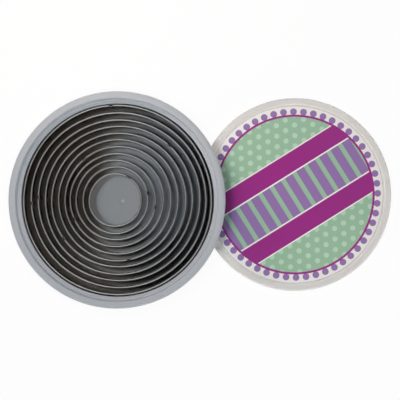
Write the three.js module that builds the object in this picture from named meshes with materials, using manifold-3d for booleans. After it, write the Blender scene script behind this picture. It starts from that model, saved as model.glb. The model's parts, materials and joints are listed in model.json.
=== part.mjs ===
// A nested set of round pastry cutters in a lidded storage tub, shown open.
// The lid lies flat on the table, and the tub stands with one side of its foot propped on the lid's edge.
// Units are millimetres, +Z is up, and the origin is under the middle of the whole set, on the table.
import * as THREE from 'three';
import { mergeVertices } from 'three/addons/utils/BufferGeometryUtils.js';
import Module from 'manifold-3d';

const wasm = await Module();
wasm.setup();

// Cutters: strips of sheet steel, each rolled into a ring, lapped, welded, and curled outward at the top.
const CUTTER_COUNT = 11;
const SMALLEST_DIAMETER = 25.4; // over the curled rim
const DIAMETER_STEP = 6.35;
const CUTTER_HEIGHT = 30;
const SHEET = 0.4;
const CURL_DIAMETER = 1;
const EDGE_LAND = 0.12; // steel left at the very bottom of the sharpened edge
const EDGE_BEVEL_HEIGHT = 0.8;
const LAP_WIDTH = 5;
const LAP_BITE = 0.3; // how far the lap's solid sinks into the wall that it is welded to
const LAP_END_GAP = 0.6; // bare wall left above and below the lap

// Where each ring's seam faces, anticlockwise from +X, from the smallest ring to the largest.
const SEAM_DEGREES = [60, 12, 350, 204, 130, 280, 215, 47, 178, 182, 94];
// How far each loose ring has crept along X from the tub's axis, from the smallest to the largest.
const RING_CREEP = [-1.1, -1, -0.9, -0.4, 0.2, 0.3, 0.5, 0.5, 0.6, 0.4, -0.1];

// Tub: a plain moulded cup with a ledge that the lid drops onto, inside a flat lip with a turned-down skirt.
const FLOOR = 1.3;
const WALL = 1.3;
const WALL_DRAFT = 0.15; // how much wider the cup is at the ledge than at the floor
const FOOT_ROUND = 2;
const LEDGE_WIDTH = 1.9;
const SEAT_DEPTH = 4.8;
const LIP_WIDTH = 3.6;
const LIP_ROUND = 0.6;
const SKIRT = 1;
const SKIRT_DROP = 3.4;
const GATE_RADIUS = 1.3; // the moulding gate's mark, a low boss in the middle of the floor
const GATE_HEIGHT = 0.25;

// Lid: a shallow cap whose raised rim frames a printed label.
const LID_HEIGHT = 4.2;
const LID_SKIRT = 1.2;
const LID_EDGE_ROUND = 1.2;
const LID_RIM_WIDTH = 3.65; // from the lid's side to the label's recess
const LID_RIM_SLOPE = 0.8;
const LID_RECESS = 0.6;
const LID_PANEL = 1;
const LABEL_THICKNESS = 0.25;
const LABEL_MARGIN = 0.35; // between the label's edge and the recess

// Clearances between pieces
const REST_GAP = 0.3; // between a piece and the one that it stands on
const LABEL_GAP = 0.15; // the label's layer of glue
const CUTTER_CLEARANCE = 0.4; // from the largest ring to the tub's wall, at the floor
const HEAD_ROOM = 0.6; // from the rings' tops up to the ledge
const LID_CLEARANCE = 0.85; // from the lid to the tub's wall, when it is closed

// How the set lies on the table
const PROP_REACH = 81.1; // from the edge that the tub stands on to the lid's shoulder under its other side
const LID_SIDE_SHIFT = 3.15; // how far the lid's middle lies from the tub's, along Y

const ROUND_STEPS = 64;
const SMALL_RING_STEPS = 32;
const LARGE_RING_STEPS = 48;
const FINE_RING_FROM = 6; // rings after this many are wide enough to need the finer steps
const FILLET_STEPS = 3;
const CURL_STEPS = 7;
const LAP_STEPS = 3;

const largestRadius = (SMALLEST_DIAMETER + DIAMETER_STEP * (CUTTER_COUNT - 1)) / 2;
const floorRadius = largestRadius + CUTTER_CLEARANCE;
const ledgeInnerRadius = floorRadius + WALL_DRAFT;
const seatRadius = ledgeInnerRadius + LEDGE_WIDTH;
const rimRadius = seatRadius + LIP_WIDTH;
const footRadius = floorRadius + WALL - FOOT_ROUND;
const cutterRestHeight = FLOOR + REST_GAP;
const ledgeHeight = cutterRestHeight + CUTTER_HEIGHT + HEAD_ROOM;
const rimHeight = ledgeHeight + SEAT_DEPTH;
const lidRadius = seatRadius - LID_CLEARANCE;
const recessRadius = lidRadius - LID_RIM_WIDTH;
const panelTop = LID_HEIGHT - LID_RECESS;
const shoulderRadius = lidRadius - LID_EDGE_ROUND;

// The tub leans by the angle that lifts its foot just clear of the lid's shoulder.
// With the lid past the flat of the foot, their two rounded edges meet instead.
// A lid that is clear of both lets the tub stand flat.
function leanOnLid() {
  const footSpan = 2 * footRadius;
  if (PROP_REACH <= footSpan) {
    return Math.atan2(LID_HEIGHT + REST_GAP, PROP_REACH);
  }
  const lidEdge = new THREE.Vector2(PROP_REACH, LID_HEIGHT - LID_EDGE_ROUND);
  const footEdge = new THREE.Vector2(footSpan, FOOT_ROUND);
  const apart = LID_EDGE_ROUND + FOOT_ROUND + REST_GAP;
  const reaches = 2 * lidEdge.length() * footEdge.length();
  const cosine = (lidEdge.lengthSq() + footEdge.lengthSq() - apart ** 2) / reaches;
  if (cosine >= 1) {
    return 0;
  }
  return lidEdge.angle() + Math.acos(cosine) - footEdge.angle();
}

const lean = leanOnLid();
const leftReach =
  (rimRadius - footRadius) * Math.cos(lean) + (rimHeight - LIP_ROUND) * Math.sin(lean);
const rightReach = PROP_REACH + shoulderRadius + lidRadius;
const standingEdgeX = (leftReach - rightReach) / 2;
const lidX = standingEdgeX + PROP_REACH + shoulderRadius;

function point(radius, height) {
  return new THREE.Vector2(radius, height);
}

// Points along an arc of a profile, from one angle to another, both ends included.
function arc(radius, height, bend, fromDegrees, toDegrees, steps) {
  const points = [];
  for (let i = 0; i <= steps; i += 1) {
    const angle = THREE.MathUtils.degToRad(THREE.MathUtils.lerp(fromDegrees, toDegrees, i / steps));
    points.push(point(radius + bend * Math.cos(angle), height + bend * Math.sin(angle)));
  }
  return points;
}

// A profile of radius and height, turned about Z.
function turned(profile, steps) {
  return new THREE.LatheGeometry(profile, steps).rotateX(Math.PI / 2);
}

function toSolid(geometry) {
  const bare = geometry.clone();
  bare.deleteAttribute('normal');
  bare.deleteAttribute('uv');
  const merged = mergeVertices(bare, 1e-4);
  return new wasm.Manifold(
    new wasm.Mesh({
      numProp: 3,
      vertProperties: new Float32Array(merged.attributes.position.array),
      triVerts: new Uint32Array(merged.index.array),
    }),
  );
}

function toGeometry(solid) {
  const mesh = solid.getMesh();
  const geometry = new THREE.BufferGeometry();
  geometry.setAttribute('position', new THREE.BufferAttribute(mesh.vertProperties, 3));
  geometry.setIndex(new THREE.BufferAttribute(mesh.triVerts, 1));
  geometry.computeVertexNormals();
  return geometry;
}

function named(name, geometry, look) {
  const mesh = new THREE.Mesh(geometry, new THREE.MeshStandardMaterial(look));
  mesh.name = name;
  return mesh;
}

const FROSTED_PLASTIC = { color: 0xcfd5d8, roughness: 0.4, metalness: 0 };
const CLEAR_PLASTIC = { color: 0xdad9d4, roughness: 0.25, metalness: 0 };
const BRIGHT_STEEL = { color: 0x9b9994, roughness: 0.22, metalness: 1 };
const PRINTED_PAPER = { color: 0xb292bd, roughness: 0.6, metalness: 0 };

function tubGeometry() {
  const seatOuterRadius = seatRadius + WALL;
  const skirtInnerRadius = rimRadius - SKIRT;
  const ledgeUnderside = ledgeHeight - WALL;
  const lipUnderside = rimHeight - WALL;
  const lipRoundCentre = rimRadius - LIP_ROUND;
  return turned(
    [
      point(0, 0),
      ...arc(footRadius, FOOT_ROUND, FOOT_ROUND, -90, 0, FILLET_STEPS),
      point(ledgeInnerRadius + WALL, ledgeUnderside),
      point(seatOuterRadius, ledgeUnderside),
      point(seatOuterRadius, lipUnderside),
      point(skirtInnerRadius, lipUnderside),
      point(skirtInnerRadius, rimHeight - SKIRT_DROP),
      point(rimRadius, rimHeight - SKIRT_DROP),
      ...arc(lipRoundCentre, rimHeight - LIP_ROUND, LIP_ROUND, 0, 90, FILLET_STEPS),
      point(seatRadius, rimHeight),
      point(seatRadius, ledgeHeight),
      point(ledgeInnerRadius, ledgeHeight),
      point(floorRadius, FLOOR),
      point(GATE_RADIUS, FLOOR),
      point(GATE_RADIUS, FLOOR + GATE_HEIGHT),
      point(0, FLOOR + GATE_HEIGHT),
    ],
    ROUND_STEPS,
  );
}

// The second thickness of sheet where the strip's end laps over its start, on the ring's outside.
function lapGeometry(wallRadius, seamDegrees) {
  const halfAngle = LAP_WIDTH / 2 / wallRadius;
  const middle = THREE.MathUtils.degToRad(seamDegrees);
  const outline = new THREE.Shape();
  outline.absarc(0, 0, wallRadius + SHEET, middle - halfAngle, middle + halfAngle, false);
  outline.absarc(0, 0, wallRadius - LAP_BITE, middle + halfAngle, middle - halfAngle, true);
  const lowest = EDGE_BEVEL_HEIGHT + LAP_END_GAP;
  const highest = CUTTER_HEIGHT - CURL_DIAMETER - LAP_END_GAP;
  const lap = new THREE.ExtrudeGeometry(outline, {
    depth: highest - lowest,
    bevelEnabled: false,
    curveSegments: LAP_STEPS,
  });
  return lap.translate(0, 0, lowest);
}

function cutterGeometry(diameter, seamDegrees, steps) {
  const curl = CURL_DIAMETER / 2;
  const innerRadius = diameter / 2 - CURL_DIAMETER;
  const wallRadius = innerRadius + SHEET;
  const curlHeight = CUTTER_HEIGHT - curl;
  // The curl starts where its circle meets the outside of the wall.
  const startDegrees = -180 + THREE.MathUtils.radToDeg(Math.acos((curl - SHEET) / curl));
  const ring = turned(
    [
      point(innerRadius, 0),
      point(innerRadius + EDGE_LAND, 0),
      point(wallRadius, EDGE_BEVEL_HEIGHT),
      ...arc(innerRadius + curl, curlHeight, curl, startDegrees, 180, CURL_STEPS),
      point(innerRadius, 0),
    ],
    steps,
  );
  return toGeometry(toSolid(ring).add(toSolid(lapGeometry(wallRadius, seamDegrees))));
}

function lidGeometry() {
  const skirtInnerRadius = lidRadius - LID_SKIRT;
  return turned(
    [
      point(0, panelTop - LID_PANEL),
      point(skirtInnerRadius, panelTop - LID_PANEL),
      point(skirtInnerRadius, 0),
      point(lidRadius, 0),
      ...arc(shoulderRadius, LID_HEIGHT - LID_EDGE_ROUND, LID_EDGE_ROUND, 0, 90, FILLET_STEPS),
      point(recessRadius + LID_RIM_SLOPE, LID_HEIGHT),
      point(recessRadius, panelTop),
      point(0, panelTop),
    ],
    ROUND_STEPS,
  );
}

function labelGeometry() {
  const radius = recessRadius - LABEL_MARGIN;
  const label = new THREE.CylinderGeometry(radius, radius, LABEL_THICKNESS, ROUND_STEPS);
  return label.rotateX(Math.PI / 2);
}

const cutterSet = new THREE.Group();

// The tub and the rings in it lean together about the edge that the tub stands on.
const leaning = new THREE.Group();
leaning.position.x = standingEdgeX;
leaning.rotation.y = -lean;
cutterSet.add(leaning);

const upright = new THREE.Group();
upright.position.x = footRadius;
leaning.add(upright);
upright.add(named('storage_tub', tubGeometry(), FROSTED_PLASTIC));

// The cutters are numbered from the smallest, so that their names hold when a size changes.
for (let i = 0; i < CUTTER_COUNT; i += 1) {
  const diameter = SMALLEST_DIAMETER + DIAMETER_STEP * i;
  const steps = i < FINE_RING_FROM ? SMALL_RING_STEPS : LARGE_RING_STEPS;
  const geometry = cutterGeometry(diameter, SEAM_DEGREES[i], steps);
  const number = String(i + 1).padStart(2, '0');
  const cutter = named(`cutter_${number}`, geometry, BRIGHT_STEEL);
  cutter.position.set(RING_CREEP[i], 0, cutterRestHeight);
  upright.add(cutter);
}

const lidGroup = new THREE.Group();
lidGroup.position.set(lidX, LID_SIDE_SHIFT, 0);
cutterSet.add(lidGroup);
lidGroup.add(named('lid', lidGeometry(), CLEAR_PLASTIC));

const label = named('lid_label', labelGeometry(), PRINTED_PAPER);
label.position.z = panelTop + LABEL_GAP + LABEL_THICKNESS / 2;
lidGroup.add(label);

export default cutterSet;
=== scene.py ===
import json
import math
import random

import bpy
from mathutils import Matrix, Vector


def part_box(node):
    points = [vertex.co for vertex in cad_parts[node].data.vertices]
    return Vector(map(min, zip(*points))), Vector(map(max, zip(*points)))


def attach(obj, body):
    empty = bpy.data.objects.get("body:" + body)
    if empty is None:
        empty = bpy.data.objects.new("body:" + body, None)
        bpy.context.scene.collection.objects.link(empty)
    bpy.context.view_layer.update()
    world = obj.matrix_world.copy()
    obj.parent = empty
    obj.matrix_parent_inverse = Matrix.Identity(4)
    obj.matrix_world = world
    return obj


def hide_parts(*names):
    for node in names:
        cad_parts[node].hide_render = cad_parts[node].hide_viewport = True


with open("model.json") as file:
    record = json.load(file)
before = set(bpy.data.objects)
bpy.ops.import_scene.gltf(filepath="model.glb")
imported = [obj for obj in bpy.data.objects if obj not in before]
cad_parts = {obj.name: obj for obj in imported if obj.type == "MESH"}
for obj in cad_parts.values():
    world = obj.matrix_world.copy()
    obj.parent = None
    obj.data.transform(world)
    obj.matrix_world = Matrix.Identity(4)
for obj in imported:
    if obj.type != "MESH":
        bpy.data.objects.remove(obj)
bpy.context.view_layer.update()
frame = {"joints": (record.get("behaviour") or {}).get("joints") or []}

MM = 0.001

# Cutters, from the smallest to the largest
CUTTER_COUNT = 11
SHEET = 0.4 * MM
CURL_RADIUS = 0.5 * MM
EDGE_LAND = 0.12 * MM
EDGE_BEVEL = 0.8 * MM
CUTTER_HEIGHT = 30 * MM
REST_GAP = 0.3 * MM
# Where each seam faces, anticlockwise from +X, and how far each ring has crept along X, in mm.
SEAM_DEGREES = [60, 12, 350, 204, 130, 280, 215, 47, 178, 182, 94]
RING_CREEP = [-1.1, -1, -0.9, -0.4, 0.2, 0.3, 0.5, 0.5, 0.6, 0.4, -0.1]
LAP_WIDTH = 5 * MM
LAP_STAND_OUT = 0.85 * SHEET
LAP_STEP_INSIDE = 0.25 * SHEET
INNER_END = -0.2  # as a share of half the lap
WELD_HEIGHTS = (6 * MM, 15 * MM, 24 * MM)
WELD_RADIUS = 0.95 * MM
WELD_DENT = 0.3 * SHEET
NICK_HALF_WIDTH = 0.7 * MM
# Waves that put a ring out of round: how many go round it, and the most that each may measure.
RING_WAVES = ((2, 0.22 * MM), (3, 0.12 * MM), (5, 0.06 * MM), (8, 0.03 * MM))
# The least share of that, and how far a wave may twist up the ring, in radians.
SMALLEST_WAVE = 0.4
WAVE_TWIST = 0.9

# Tub
FLOOR = 1.3 * MM
WALL = 1.3 * MM
FOOT_RADIUS = 44.15 * MM
FLOOR_RADIUS = 44.85 * MM
LEDGE_RADIUS = 45 * MM
SEAT_RADIUS = 46.9 * MM
RIM_RADIUS = 50.5 * MM
LEDGE_HEIGHT = 32.2 * MM
RIM_HEIGHT = 37 * MM
SKIRT = 1 * MM
SKIRT_DROP = 3.4 * MM
LIP_ROUND = 0.6 * MM
FOOT_ROUND = 2 * MM

# Lid and label
LID_SKIRT = 1.2 * MM
LID_RIM_WIDTH = 3.65 * MM
LID_RECESS = 0.6 * MM
LID_PANEL = 1 * MM
LABEL_TURN = math.radians(32)

# Steps round the tub, the lid and the label
ROUND_STEPS = 192

# Camera, from the photograph: the image is 400 pixels wide.
IMAGE_PIXELS = 400
PIXELS_PER_MM_AT_RIM = 2.155
CAMERA_DISTANCE = 1300 * MM
CAMERA_TIP = math.radians(1.0)
RIM_OFFSET_PIXELS = (-83.5, 0.17)

# The tub's lean is read from the way that its rings lift out.
lift_axis = Vector(next(joint["axis"] for joint in frame["joints"] if joint["name"] == "lift_01"))
lean = math.atan2(-lift_axis.x, lift_axis.z)
tub_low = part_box("storage_tub")[0]
left_reach = (RIM_RADIUS - FOOT_RADIUS) * math.cos(lean) + (RIM_HEIGHT - LIP_ROUND) * math.sin(lean)
standing_edge = Vector((tub_low[0] + left_reach, 0, 0))
tub_place = (
    Matrix.Translation(standing_edge)
    @ Matrix.Rotation(-lean, 4, "Y")
    @ Matrix.Translation((FOOT_RADIUS, 0, 0))
)
lid_low, lid_high = (Vector(corner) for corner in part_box("lid"))
lid_middle = (lid_low + lid_high) / 2
lid_place = Matrix.Translation((lid_middle.x, lid_middle.y, 0))
lid_radius = (lid_high.x - lid_low.x) / 2
lid_height = lid_high.z
recess_radius = lid_radius - LID_RIM_WIDTH
label_low, label_high = (Vector(corner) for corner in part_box("lid_label"))
label_radius = (label_high.x - label_low.x) / 2


# Materials

def linear(hex_colour):
    """An sRGB hex colour as a linear RGBA."""
    channels = []
    for start in (1, 3, 5):
        value = int(hex_colour[start:start + 2], 16) / 255
        channels.append(value / 12.92 if value <= 0.04045 else ((value + 0.055) / 1.055) ** 2.4)
    return (*channels, 1.0)


def add(tree, kind, inputs=(), **settings):
    """Adds a node with its settings. Inputs go by order or by name; a node or socket among them is linked."""
    made = tree.nodes.new(kind)
    for name, value in settings.items():
        setattr(made, name, value)
    for key, value in inputs.items() if isinstance(inputs, dict) else enumerate(inputs):
        if isinstance(value, bpy.types.Node):
            value = value.outputs[0]
        if isinstance(value, bpy.types.NodeSocket):
            tree.links.new(value, made.inputs[key])
        else:
            made.inputs[key].default_value = value
    return made


def new_material(name):
    """An empty material and its node tree."""
    material = bpy.data.materials.new(name)
    material.use_nodes = True
    material.node_tree.nodes.clear()
    return material, material.node_tree


def rolled_stainless_sheet():
    """Cold-rolled stainless sheet.

    The eye sees a satin mirror, with faint rolling lines round the ring, dull smears and oil stains."""
    material, tree = new_material("rolled_stainless_sheet")
    place = add(tree, "ShaderNodeTexCoord").outputs["Object"]
    # Real rolling lines are far finer. They are 0.25 mm apart here, so that they show.
    line_pitch = 0.25 * MM
    line_length = 60 * MM
    stretch = (1 / line_length, 1 / line_length, 1 / line_pitch)
    along = add(tree, "ShaderNodeMapping", {"Vector": place, "Scale": stretch})
    lines = add(tree, "ShaderNodeTexNoise", {"Vector": along, "Scale": 1.0, "Detail": 3.0})
    smear_size = 9 * MM
    smears = add(tree, "ShaderNodeTexNoise", {"Vector": place, "Scale": 1 / smear_size, "Detail": 4.0})
    both = add(tree, "ShaderNodeMath", [lines, smears], operation="ADD")
    rough = add(
        tree, "ShaderNodeMapRange",
        {"Value": both, "From Min": 0.7, "From Max": 1.3, "To Min": 0.05, "To Max": 0.12},
    )
    # Oil stains are drawn out a little round the ring, the way that the strip was rolled.
    stain_height = 7 * MM
    stain_length = 16 * MM
    drawn_out = (1 / stain_length, 1 / stain_length, 1 / stain_height)
    round_ring = add(tree, "ShaderNodeMapping", {"Vector": place, "Scale": drawn_out})
    stains = add(tree, "ShaderNodeTexNoise", {"Vector": round_ring, "Scale": 1.0, "Detail": 2.0})
    stained = add(
        tree, "ShaderNodeMapRange",
        {"Value": stains, "From Min": 0.4, "From Max": 0.75, "To Max": 0.4},
    )
    clean, oily = linear("#CECAC5"), linear("#8C7E70")
    tint = add(tree, "ShaderNodeMix", {0: stained, 6: clean, 7: oily}, data_type="RGBA")
    ridges = add(tree, "ShaderNodeBump", {"Height": lines, "Strength": 0.12, "Distance": 0.01 * MM})
    round_axis = add(tree, "ShaderNodeTangent", direction_type="RADIAL", axis="Z")
    steel = add(
        tree, "ShaderNodeBsdfPrincipled",
        {
            "Base Color": tint.outputs[2],
            "Metallic": 1.0,
            "Roughness": rough,
            "Normal": ridges,
            "Specular Tint": linear("#BFB7AE"),
            "Anisotropic": 0.5,
            "Tangent": round_axis,
        },
    )
    add(tree, "ShaderNodeOutputMaterial", [steel])
    return material


def moulded_polypropylene():
    """Natural polypropylene, moulded against a fine spark-eroded grain.

    The eye sees a milky, greyish body with soft highlights."""
    material, tree = new_material("moulded_polypropylene")
    place = add(tree, "ShaderNodeTexCoord").outputs["Object"]
    cloud_size = 14 * MM
    clouds = add(tree, "ShaderNodeTexNoise", {"Vector": place, "Scale": 1 / cloud_size, "Detail": 3.0})
    # Real grain is finer. It is 0.5 mm here, so that it shows.
    grain_size = 0.5 * MM
    grain = add(tree, "ShaderNodeTexNoise", {"Vector": place, "Scale": 1 / grain_size, "Detail": 2.0})
    rough = add(
        tree, "ShaderNodeMapRange",
        {"Value": clouds, "From Min": 0.2, "From Max": 0.8, "To Min": 0.29, "To Max": 0.34},
    )
    clear, milky = linear("#A7AEB5"), linear("#ABB2B8")
    body = add(tree, "ShaderNodeMix", {0: clouds, 6: clear, 7: milky}, data_type="RGBA").outputs[2]
    # A painted highlight: a small white glint laid on the gate's stub in the middle of the floor.
    glint_radius = 0.5 * MM
    glint_fade = 1 * MM
    from_axis = add(tree, "ShaderNodeVectorMath", [place, (1, 1, 0)], operation="MULTIPLY")
    radius = add(tree, "ShaderNodeVectorMath", [from_axis], operation="LENGTH").outputs["Value"]
    painted_glint = add(
        tree, "ShaderNodeMapRange",
        {"Value": radius, "From Min": glint_radius, "From Max": glint_fade, "To Min": 0.9, "To Max": 0.0},
    )
    glint_white = linear("#CDD3D6")
    tint = add(tree, "ShaderNodeMix", {0: painted_glint, 6: body, 7: glint_white}, data_type="RGBA")
    bumps = add(tree, "ShaderNodeBump", {"Height": grain, "Strength": 0.05, "Distance": 0.02 * MM})
    plastic = add(
        tree, "ShaderNodeBsdfPrincipled",
        {
            "Base Color": tint.outputs[2],
            "Roughness": rough,
            "IOR": 1.49,
            "Transmission Weight": 0.05,
            "Normal": bumps,
        },
    )
    add(tree, "ShaderNodeOutputMaterial", [plastic])
    return material


def clear_moulded_plastic():
    """Clear plastic, moulded smooth.

    The eye sees through it, with a slight milky haze, and sees sharp highlights on its round rim."""
    material, tree = new_material("clear_moulded_plastic")
    place = add(tree, "ShaderNodeTexCoord").outputs["Object"]
    cloud_size = 11 * MM
    clouds = add(tree, "ShaderNodeTexNoise", {"Vector": place, "Scale": 1 / cloud_size, "Detail": 3.0})
    rough = add(
        tree, "ShaderNodeMapRange",
        {"Value": clouds, "From Min": 0.3, "From Max": 0.7, "To Min": 0.14, "To Max": 0.24},
    )
    clear, milky = linear("#EEEDEA"), linear("#F2F1EF")
    tint = add(tree, "ShaderNodeMix", {0: clouds, 6: clear, 7: milky}, data_type="RGBA")
    plastic = add(
        tree, "ShaderNodeBsdfPrincipled",
        {"Base Color": tint.outputs[2], "Roughness": rough, "IOR": 1.49, "Transmission Weight": 0.45},
    )
    add(tree, "ShaderNodeOutputMaterial", [plastic])
    return material


def printed_label_paper():
    """Coated label paper, printed flat.

    The eye sees even inks with a slight sheen: a beaded border, a striped belt between plain ones,
    and dotted ends."""
    material, tree = new_material("printed_label_paper")
    paper, lilac, magenta = linear("#F3F2F0"), linear("#9577B0"), linear("#9A2C86")
    mint, pale_mint = linear("#9CC3A6"), linear("#BAD9C4")
    place = add(tree, "ShaderNodeTexCoord").outputs["Object"]
    straight = add(tree, "ShaderNodeMapping", {"Vector": place, "Rotation": (0, 0, -LABEL_TURN)})
    apart = add(tree, "ShaderNodeSeparateXYZ", [straight])
    across, up = apart.outputs["X"], apart.outputs["Y"]
    flat = add(tree, "ShaderNodeCombineXYZ", [across, up])
    radius = add(tree, "ShaderNodeVectorMath", [flat], operation="LENGTH").outputs["Value"]

    # Beads: round spots in a row along a circle.
    bead_count = 52
    bead_circle = 39.5 * MM
    bead_radius = 1.6 * MM
    bead_pitch = math.tau * bead_circle / bead_count
    angle = add(tree, "ShaderNodeMath", [up, across], operation="ARCTAN2")
    turns = add(tree, "ShaderNodeMath", [angle, bead_count / math.tau], operation="MULTIPLY")
    in_turn = add(tree, "ShaderNodeMath", [turns], operation="FRACT")
    centred = add(tree, "ShaderNodeMath", [in_turn, 0.5], operation="SUBTRACT")
    aside = add(tree, "ShaderNodeMath", [centred, bead_pitch], operation="MULTIPLY")
    outward = add(tree, "ShaderNodeMath", [radius, bead_circle], operation="SUBTRACT")
    bead_place = add(tree, "ShaderNodeCombineXYZ", [aside, outward])
    from_bead = add(tree, "ShaderNodeVectorMath", [bead_place], operation="LENGTH").outputs["Value"]
    bead = add(tree, "ShaderNodeMath", [from_bead, bead_radius], operation="LESS_THAN")
    ring_radius = 38.1 * MM
    field_radius = 37.1 * MM
    ring = add(tree, "ShaderNodeMath", [radius, ring_radius], operation="LESS_THAN")
    field = add(tree, "ShaderNodeMath", [radius, field_radius], operation="LESS_THAN")

    # Belts across the field. Each reaches this far from the field's middle line, on both sides.
    reaches = (9 * MM, 9.7 * MM, 18.4 * MM, 19 * MM)
    height = add(tree, "ShaderNodeMath", [up], operation="ABSOLUTE")
    striped_belt, white_edge, plain_belt, outer_edge = [
        add(tree, "ShaderNodeMath", [height, reach], operation="LESS_THAN") for reach in reaches
    ]
    stripe_pitch = 6.4 * MM
    stripe_share = 0.66
    stripe_turn = add(tree, "ShaderNodeMath", [across, 1 / stripe_pitch], operation="MULTIPLY")
    stripe_place = add(tree, "ShaderNodeMath", [stripe_turn], operation="FRACT")
    stripe = add(tree, "ShaderNodeMath", [stripe_place, stripe_share], operation="LESS_THAN")

    # Dots on a staggered grid, over the two ends of the field.
    dot_pitch = 5 * MM
    dot_radius = 1.25 * MM
    row_pitch = dot_pitch * math.sqrt(3) / 2
    row_turn = add(tree, "ShaderNodeMath", [up, 1 / row_pitch], operation="MULTIPLY")
    row = add(tree, "ShaderNodeMath", [row_turn], operation="FLOOR")
    stagger = add(tree, "ShaderNodeMath", [row, 0.5], operation="MULTIPLY")
    column_turn = add(tree, "ShaderNodeMath", [across, 1 / dot_pitch], operation="MULTIPLY")
    shifted = add(tree, "ShaderNodeMath", [column_turn, stagger], operation="ADD")
    cell = [add(tree, "ShaderNodeMath", [turn], operation="FRACT") for turn in (shifted, row_turn)]
    middle = [add(tree, "ShaderNodeMath", [side, 0.5], operation="SUBTRACT") for side in cell]
    dot_place = add(tree, "ShaderNodeCombineXYZ", middle)
    dot_size = (dot_pitch, row_pitch, 0)
    dot_scale = add(tree, "ShaderNodeVectorMath", [dot_place, dot_size], operation="MULTIPLY")
    from_dot = add(tree, "ShaderNodeVectorMath", [dot_scale], operation="LENGTH").outputs["Value"]
    dot = add(tree, "ShaderNodeMath", [from_dot, dot_radius], operation="LESS_THAN")

    # Each colour is laid over the ones before it, as a printer lays inks.
    stripes = add(tree, "ShaderNodeMix", {0: stripe, 6: mint, 7: lilac}, data_type="RGBA").outputs[2]
    print_in_field = mint
    field_inks = (
        (dot, pale_mint),
        (outer_edge, paper),
        (plain_belt, magenta),
        (white_edge, paper),
        (striped_belt, stripes),
    )
    for mask, ink in field_inks:
        laid = add(tree, "ShaderNodeMix", {0: mask, 6: print_in_field, 7: ink}, data_type="RGBA")
        print_in_field = laid.outputs[2]
    colour = paper
    for mask, ink in ((bead, lilac), (ring, magenta), (field, print_in_field)):
        colour = add(tree, "ShaderNodeMix", {0: mask, 6: colour, 7: ink}, data_type="RGBA").outputs[2]

    # Real fibres are finer. They are 0.6 mm here, so that they show.
    fibre_size = 0.6 * MM
    fibres = add(tree, "ShaderNodeTexNoise", {"Vector": place, "Scale": 1 / fibre_size, "Detail": 3.0})
    rough = add(
        tree, "ShaderNodeMapRange",
        {"Value": fibres, "From Min": 0.3, "From Max": 0.7, "To Min": 0.28, "To Max": 0.36},
    )
    bumps = add(tree, "ShaderNodeBump", {"Height": fibres, "Strength": 0.1, "Distance": 0.02 * MM})
    paper_shader = add(
        tree, "ShaderNodeBsdfPrincipled",
        {"Base Color": colour, "Roughness": rough, "IOR": 1.5, "Normal": bumps},
    )
    add(tree, "ShaderNodeOutputMaterial", [paper_shader])
    return material


# Meshes

def filleted(corners, steps=5):
    """A profile with its corners rounded. Each corner is (radius, height, fillet), in metres."""
    points = []
    last = len(corners) - 1
    for index, (radius, height, fillet) in enumerate(corners):
        corner = Vector((radius, height))
        if fillet == 0 or index in (0, last):
            points.append(corner)
            continue
        before = Vector(corners[index - 1][:2]) - corner
        after = Vector(corners[index + 1][:2]) - corner
        half_angle = before.angle(after) / 2
        reach = fillet / math.tan(half_angle)
        start = corner + before.normalized() * reach
        end = corner + after.normalized() * reach
        # A conic through the two tangent points, with the weight that makes it a circle's arc.
        weight = math.sin(half_angle)
        for step in range(steps + 1):
            share = step / steps
            near, middle, far = (1 - share) ** 2, 2 * weight * share * (1 - share), share ** 2
            points.append((start * near + corner * middle + end * far) / (near + middle + far))
    return points


def grid_mesh(name, rows, columns, closed, place, material):
    """A mesh from rows of points that run round an axis. A row of one point is a pole."""
    vertices = []
    starts = []
    for row in rows:
        starts.append(len(vertices))
        vertices.extend(row)
    pairs = list(zip(range(len(rows) - 1), range(1, len(rows))))
    if closed:
        pairs.append((len(rows) - 1, 0))
    faces = []
    for first, second in pairs:
        for column in range(columns):
            following = (column + 1) % columns
            corners = []
            for row, index in ((first, column), (first, following), (second, following), (second, column)):
                vertex = starts[row] + (0 if len(rows[row]) == 1 else index)
                if vertex not in corners:
                    corners.append(vertex)
            faces.append(corners)
    mesh = bpy.data.meshes.new(name)
    mesh.from_pydata([tuple(vertex) for vertex in vertices], [], faces)
    mesh.validate()
    mesh.polygons.foreach_set("use_smooth", [True] * len(mesh.polygons))
    mesh.materials.append(material)
    made = bpy.data.objects.new(name, mesh)
    made.matrix_world = place
    bpy.context.collection.objects.link(made)
    return made


def turned(name, profile, columns, place, material):
    """A profile of radius and height, turned about the piece's own axis. A point on the axis is a pole."""
    on_axis = 1e-9
    angles = [math.tau * column / columns for column in range(columns)]
    rows = []
    for radius, height in profile:
        if radius < on_axis:
            rows.append([(0, 0, height)])
        else:
            rows.append([(radius * math.cos(angle), radius * math.sin(angle), height) for angle in angles])
    return grid_mesh(name, rows, columns, False, place, material)


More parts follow.
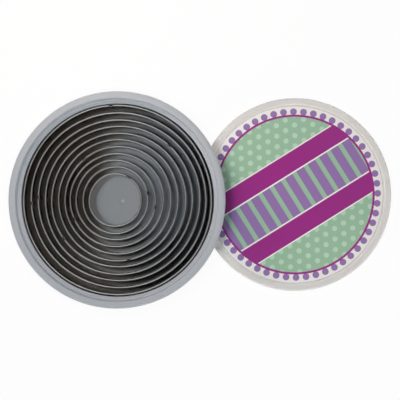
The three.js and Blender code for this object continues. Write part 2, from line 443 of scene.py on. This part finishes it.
def make_tub():
    """The tub, from the middle of its underside, over the lip, to the gate's stub on its floor."""
    wall_out = FLOOR_RADIUS + WALL
    seat_out = SEAT_RADIUS + WALL
    skirt_in = RIM_RADIUS - SKIRT
    skirt_low = RIM_HEIGHT - SKIRT_DROP
    ledge_under = LEDGE_HEIGHT - WALL
    lip_under = RIM_HEIGHT - WALL
    edge_round = 0.3 * MM
    # The underside is hollow inside a narrow foot.
    hollow_height = 0.4 * MM
    hollow_radius = 41 * MM
    foot_inside = 41.4 * MM
    # A band on the lip and a step on the ledge show as fine lines from above.
    line_round = 0.1 * MM
    lip_low = RIM_HEIGHT - 0.14 * MM
    lip_inside = SEAT_RADIUS + 0.35 * MM
    band_out = RIM_RADIUS - 1.15 * MM
    band_in = SEAT_RADIUS + 0.75 * MM
    slope_out = 0.2 * MM
    slope_in = 0.15 * MM
    ledge_low = LEDGE_HEIGHT - 0.12 * MM
    ledge_line = LEDGE_RADIUS + 0.8 * MM
    ledge_slope = 0.1 * MM
    ledge_round = 0.08 * MM
    gate_radius = 1.3 * MM
    gate_height = 0.25 * MM
    gate_round = 0.2 * MM
    profile = filleted(
        [
            (0, hollow_height, 0),
            (hollow_radius, hollow_height, edge_round),
            (foot_inside, 0, 0.2 * MM),
            (wall_out, 0, FOOT_ROUND),
            (LEDGE_RADIUS + WALL, ledge_under, 0.5 * MM),
            (seat_out, ledge_under, 0.5 * MM),
            (seat_out, lip_under, edge_round),
            (skirt_in, lip_under, edge_round),
            (skirt_in, skirt_low, edge_round),
            (RIM_RADIUS, skirt_low, edge_round),
            (RIM_RADIUS, lip_low, LIP_ROUND),
            (band_out + slope_out, lip_low, line_round),
            (band_out, RIM_HEIGHT, line_round),
            (band_in, RIM_HEIGHT, line_round),
            (band_in - slope_in, lip_low, line_round),
            (lip_inside, lip_low, 0.25 * MM),
            (SEAT_RADIUS, LEDGE_HEIGHT, 0.8 * MM),
            (ledge_line + ledge_slope, LEDGE_HEIGHT, ledge_round),
            (ledge_line, ledge_low, ledge_round),
            (LEDGE_RADIUS, ledge_low, 0.4 * MM),
            (FLOOR_RADIUS, FLOOR, 1 * MM),
            (gate_radius * 1.4, FLOOR, gate_round),
            (gate_radius, FLOOR + 0.4 * gate_height, gate_round),
            (gate_radius * 0.5, FLOOR + 0.85 * gate_height, gate_round),
            (0, FLOOR + gate_height, 0),
        ]
    )
    return turned("moulded_tub", profile, ROUND_STEPS, tub_place, moulded_polypropylene())


def cutter_section(inner_radius):
    """The strip's section: a sharpened lower edge, a straight wall and a hollow outward curl, as two sides.

    Each point is (radius, height, in the curl)."""
    straight_top = CUTTER_HEIGHT - CURL_RADIUS
    # A few rows up the wall, and close rows over each weld.
    heights = [EDGE_BEVEL, 3 * MM, 10.5 * MM, 19.5 * MM, 27 * MM, straight_top]
    weld_row = 0.45 * MM
    for weld in WELD_HEIGHTS:
        heights += [weld + step * weld_row for step in (-2, -1, 0, 1, 2)]
    heights.sort()
    curl_steps = 14
    end_degrees = -104
    angles = [math.radians(180 + (end_degrees - 180) * step / curl_steps) for step in range(curl_steps + 1)]
    centre = inner_radius + CURL_RADIUS
    roll = CURL_RADIUS - SHEET
    inside = [(inner_radius, 0, False)] + [(inner_radius, height, False) for height in heights]
    for angle in angles[1:]:
        radius = centre + CURL_RADIUS * math.cos(angle)
        inside.append((radius, straight_top + CURL_RADIUS * math.sin(angle), True))
    outside = []
    for angle in reversed(angles):
        radius = centre + roll * math.cos(angle)
        outside.append((radius, straight_top + roll * math.sin(angle), True))
    outside += [(inner_radius + SHEET, height, False) for height in reversed(heights[:-1])]
    outside.append((inner_radius + EDGE_LAND, 0, False))
    return inside, outside


def make_cutter(name, diameter, seam_degrees, creep, seed, steel):
    """One ring, a little out of round, with weld dimples at its lapped seam and a nick in its curl there."""
    draw = random.Random(seed)
    inner_radius = diameter / 2 - 2 * CURL_RADIUS
    inside, outside = cutter_section(inner_radius)
    seam = math.radians(seam_degrees)
    half_lap = LAP_WIDTH / 2 / inner_radius
    # Even steps round the ring, and closer ones over the lap.
    fewest_steps = 72
    steps_per_mm = 2
    even_steps = max(fewest_steps, int(diameter / MM * steps_per_mm))
    lap_steps = 16
    lap_zone = half_lap * 1.2
    clear_zone = half_lap * 1.25
    angles = [math.tau * step / even_steps for step in range(even_steps)]
    angles = [angle for angle in angles if abs(math.remainder(angle - seam, math.tau)) > clear_zone]
    angles += [(seam + lap_zone * (2 * step / lap_steps - 1)) % math.tau for step in range(lap_steps + 1)]
    angles.sort()
    waves = []
    for lobes, most in RING_WAVES:
        size = draw.uniform(SMALLEST_WAVE, 1) * most
        phase = draw.uniform(0, math.tau)
        waves.append((size, lobes, phase, draw.uniform(-WAVE_TWIST, WAVE_TWIST)))
    rows = []
    for index, (on_radius, on_height, in_curl) in enumerate(inside + outside):
        on_outside = index >= len(inside)
        straight = EDGE_BEVEL / 2 < on_height < CUTTER_HEIGHT - 2 * CURL_RADIUS
        row = []
        for angle in angles:
            radius, height = on_radius, on_height
            risen = height / CUTTER_HEIGHT
            shift = sum(
                size * math.sin(lobes * angle + phase + twist * risen) for size, lobes, phase, twist in waves
            )
            off_seam = math.remainder(angle - seam, math.tau)
            lap_share = off_seam / half_lap
            if in_curl:
                # The curl has a nick where the strip's ends meet.
                nick = max(0, 1 - (off_seam * inner_radius / NICK_HALF_WIDTH) ** 2)
                radius += (inner_radius + SHEET / 2 - radius) * nick
                height += (CUTTER_HEIGHT - 2 * CURL_RADIUS - height) * nick
            if straight and abs(lap_share) <= 1:
                # The lapped end stands out by a sheet's thickness, and the inner end leaves a step inside.
                inner_step = LAP_STEP_INSIDE if lap_share > INNER_END else 0
                shift += LAP_STAND_OUT if on_outside else inner_step
                for weld in WELD_HEIGHTS:
                    distance = math.hypot(off_seam * inner_radius, height - weld) / WELD_RADIUS
                    if distance < 1:
                        dent = WELD_DENT * (1 - distance ** 2)
                        shift += -dent if on_outside else dent
            row.append(((radius + shift) * math.cos(angle), (radius + shift) * math.sin(angle), height))
        rows.append(row)
    place = tub_place @ Matrix.Translation((creep, 0, FLOOR + REST_GAP))
    return grid_mesh(name, rows, len(angles), True, place, steel)


def make_lid():
    """The lid, from the middle of its underside, over the grooved rim, to the middle of its recess."""
    panel_top = lid_height - LID_RECESS
    panel_under = panel_top - LID_PANEL
    skirt_in = lid_radius - LID_SKIRT
    edge_round = 0.3 * MM
    groove_insets = (1.35 * MM, 1.95 * MM, 2.5 * MM)
    groove_half = 0.16 * MM
    groove_depth = 0.14 * MM
    groove_round = 0.05 * MM
    grooves = []
    for inset in groove_insets:
        middle = lid_radius - inset
        grooves.append((middle + groove_half, lid_height, groove_round))
        grooves.append((middle, lid_height - groove_depth, groove_round))
        grooves.append((middle - groove_half, lid_height, groove_round))
    profile = filleted(
        [
            (0, panel_under, 0),
            (skirt_in, panel_under, 0.6 * MM),
            (skirt_in, 0, edge_round),
            (lid_radius, 0, edge_round),
            (lid_radius, lid_height, 1.1 * MM),
            *grooves,
            (recess_radius + 0.8 * MM, lid_height, 0.4 * MM),
            (recess_radius, panel_top, edge_round),
            (0, panel_top, 0),
        ]
    )
    return turned("moulded_lid", profile, ROUND_STEPS, lid_place, clear_moulded_plastic())


def make_label():
    """The label: a flat disc with its cut edge a little rounded."""
    low, high = label_low.z, label_high.z
    edge = 0.08 * MM
    profile = filleted([(0, low, 0), (label_radius, low, edge), (label_radius, high, edge), (0, high, 0)])
    return turned("printed_label", profile, ROUND_STEPS, lid_place, printed_label_paper())


def finish_piece(piece, body, node):
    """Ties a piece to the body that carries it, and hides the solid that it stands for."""
    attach(piece, body)
    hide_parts(node)


finish_piece(make_tub(), "tub", "storage_tub")
rolled_steel = rolled_stainless_sheet()
for index in range(CUTTER_COUNT):
    number = f"{index + 1:02d}"
    low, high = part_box(f"cutter_{number}")
    diameter = high[1] - low[1]
    creep = RING_CREEP[index] * MM
    seed = index + 1
    ring = make_cutter(f"rolled_ring_{number}", diameter, SEAM_DEGREES[index], creep, seed, rolled_steel)
    finish_piece(ring, f"ring_{number}", f"cutter_{number}")
finish_piece(make_lid(), "lid_body", "lid")
finish_piece(make_label(), "lid_body", "lid_label")


# Stage

def white_sweep():
    """White paper, near white where it is seen, mirrored or looked at through plastic.

    A small matt share is left there, which takes the set's soft shadow."""
    glow_share = 0.95
    material, tree = new_material("white_sweep")
    path = add(tree, "ShaderNodeLightPath").outputs
    direct = add(tree, "ShaderNodeMath", [path["Is Camera Ray"], path["Is Glossy Ray"]], operation="MAXIMUM")
    seen = add(tree, "ShaderNodeMath", [direct, path["Is Transmission Ray"]], operation="MAXIMUM")
    share = add(tree, "ShaderNodeMath", [seen, glow_share], operation="MULTIPLY")
    matt = add(tree, "ShaderNodeBsdfDiffuse", {"Color": linear("#F2F2F2")})
    glow = add(tree, "ShaderNodeEmission", {"Color": (1, 1, 1, 1), "Strength": 1.0})
    add(tree, "ShaderNodeOutputMaterial", [add(tree, "ShaderNodeMixShader", [share, matt, glow])])
    return material


def make_floor():
    """The table: one wide white sheet, which is no part of the set."""
    half = 3.0
    corners = [(-half, -half, 0), (half, -half, 0), (half, half, 0), (-half, half, 0)]
    mesh = bpy.data.meshes.new("sweep")
    mesh.from_pydata(corners, [], [(0, 1, 2, 3)])
    mesh.materials.append(white_sweep())
    floor = bpy.data.objects.new("sweep", mesh)
    bpy.context.collection.objects.link(floor)


def soft_box(name, place, size, watts, colour):
    """A square soft light, aimed at the middle of the set and kept out of the steel's mirror images."""
    middle_of_set = Vector((0, 0, 20 * MM))
    light = bpy.data.lights.new(name, "AREA")
    light.shape = "SQUARE"
    light.size = size
    light.energy = watts
    light.color = linear(colour)[:3]
    lamp = bpy.data.objects.new(name, light)
    lamp.location = place
    lamp.rotation_euler = (middle_of_set - Vector(place)).to_track_quat("-Z", "Y").to_euler()
    lamp.visible_glossy = False
    lamp.visible_camera = False
    bpy.context.collection.objects.link(lamp)


def light_scene():
    """A dim room for the steel to mirror, low light all round for matt surfaces, and three small lamps."""
    world = bpy.data.worlds.new("studio")
    bpy.context.scene.world = world
    world.use_nodes = True
    tree = world.node_tree
    tree.nodes.clear()
    path = add(tree, "ShaderNodeLightPath").outputs
    way = add(tree, "ShaderNodeSeparateXYZ", [add(tree, "ShaderNodeTexCoord").outputs["Generated"]]).outputs
    side = add(tree, "ShaderNodeMapRange", {"Value": way["Y"], "From Min": -0.8, "From Max": 0.8})
    warm, cool = linear("#F3EFEE"), linear("#D0E0ED")
    tint = add(tree, "ShaderNodeMix", {0: side, 6: warm, 7: cool}, data_type="RGBA").outputs[2]

    # The steel mirrors a ring of light round a dim zenith, brighter in front and behind, and a white horizon.
    high_up = add(
        tree, "ShaderNodeMapRange",
        {"Value": way["Z"], "From Min": 0.8, "From Max": 0.88, "To Min": 0.0, "To Max": 1.0},
    )
    round_zenith = add(
        tree, "ShaderNodeMapRange",
        {"Value": way["Z"], "From Min": 0.95, "From Max": 0.98, "To Min": 1.0, "To Max": 0.16},
    )
    aside = add(tree, "ShaderNodeMath", [way["Y"]], operation="ABSOLUTE")
    front_and_back = add(
        tree, "ShaderNodeMapRange",
        {"Value": aside, "From Min": 0.1, "From Max": 0.35, "To Min": 1.1, "To Max": 2.1},
    )
    ring = add(tree, "ShaderNodeMath", [high_up, round_zenith], operation="MULTIPLY")
    ring_light = add(tree, "ShaderNodeMath", [ring, front_and_back], operation="MULTIPLY")
    horizon = add(
        tree, "ShaderNodeMapRange",
        {"Value": way["Z"], "From Min": 0.08, "From Max": 0.2, "To Min": 1.0, "To Max": 0.04},
    )
    mirror_light = add(tree, "ShaderNodeMath", [ring_light, horizon], operation="ADD")

    # Matt surfaces are lit from low down, warm and strong in front, cool and weak behind.
    low_down = add(
        tree, "ShaderNodeMapRange",
        {"Value": way["Z"], "From Min": 0.28, "From Max": 0.4, "To Min": 2.2, "To Max": 0.08},
    )
    in_front = add(
        tree, "ShaderNodeMapRange",
        {"Value": way["Y"], "From Min": -0.8, "From Max": 0.8, "To Min": 1.7, "To Max": 0.4},
    )
    room_light = add(tree, "ShaderNodeMath", [low_down, in_front], operation="MULTIPLY")
    room = add(tree, "ShaderNodeBackground", {"Color": tint, "Strength": room_light})
    mirrored = add(tree, "ShaderNodeBackground", {"Color": tint, "Strength": mirror_light})
    around = add(tree, "ShaderNodeMixShader", [path["Is Glossy Ray"], room, mirrored])

    # Seen straight or through plastic, the backdrop is white.
    white = add(tree, "ShaderNodeBackground", {"Color": (1, 1, 1, 1), "Strength": 1.0})
    seen_ways = [path["Is Camera Ray"], path["Is Transmission Ray"]]
    seen = add(tree, "ShaderNodeMath", seen_ways, operation="MAXIMUM")
    add(tree, "ShaderNodeOutputWorld", [add(tree, "ShaderNodeMixShader", [seen, around, white])])

    # The first two look down into the gaps between the rings, on the right and on the left.
    soft_box("overhead", place=(-0.036, 0.002, 0.5), size=0.028, watts=0.78, colour="#F4FAFF")
    soft_box("ceiling", place=(-0.112, 0, 0.7), size=0.07, watts=0.85, colour="#FFEAD4")
    soft_box("behind", place=(-0.08, 0.13, 0.14), size=0.08, watts=0.145, colour="#FFE6DC")


def place_camera():
    """Above the set and tipped a little, with the middle of the tub's rim where the photograph has it."""
    data = bpy.data.cameras.new("camera")
    data.sensor_width = 36
    data.lens = data.sensor_width * PIXELS_PER_MM_AT_RIM * CAMERA_DISTANCE / MM / IMAGE_PIXELS
    data.clip_start = 0.01
    data.clip_end = 20
    camera = bpy.data.objects.new("camera", data)
    rim = tub_place @ Vector((0, 0, RIM_HEIGHT))
    pixel = MM / PIXELS_PER_MM_AT_RIM
    aim = rim - Vector((RIM_OFFSET_PIXELS[0] * pixel, RIM_OFFSET_PIXELS[1] * pixel, 0))
    camera.matrix_world = (
        Matrix.Translation(aim)
        @ Matrix.Rotation(CAMERA_TIP, 4, "X")
        @ Matrix.Translation((0, 0, CAMERA_DISTANCE))
    )
    bpy.context.collection.objects.link(camera)
    bpy.context.scene.camera = camera


make_floor()
light_scene()
place_camera()
bpy.context.scene.view_settings.view_transform = "Standard"
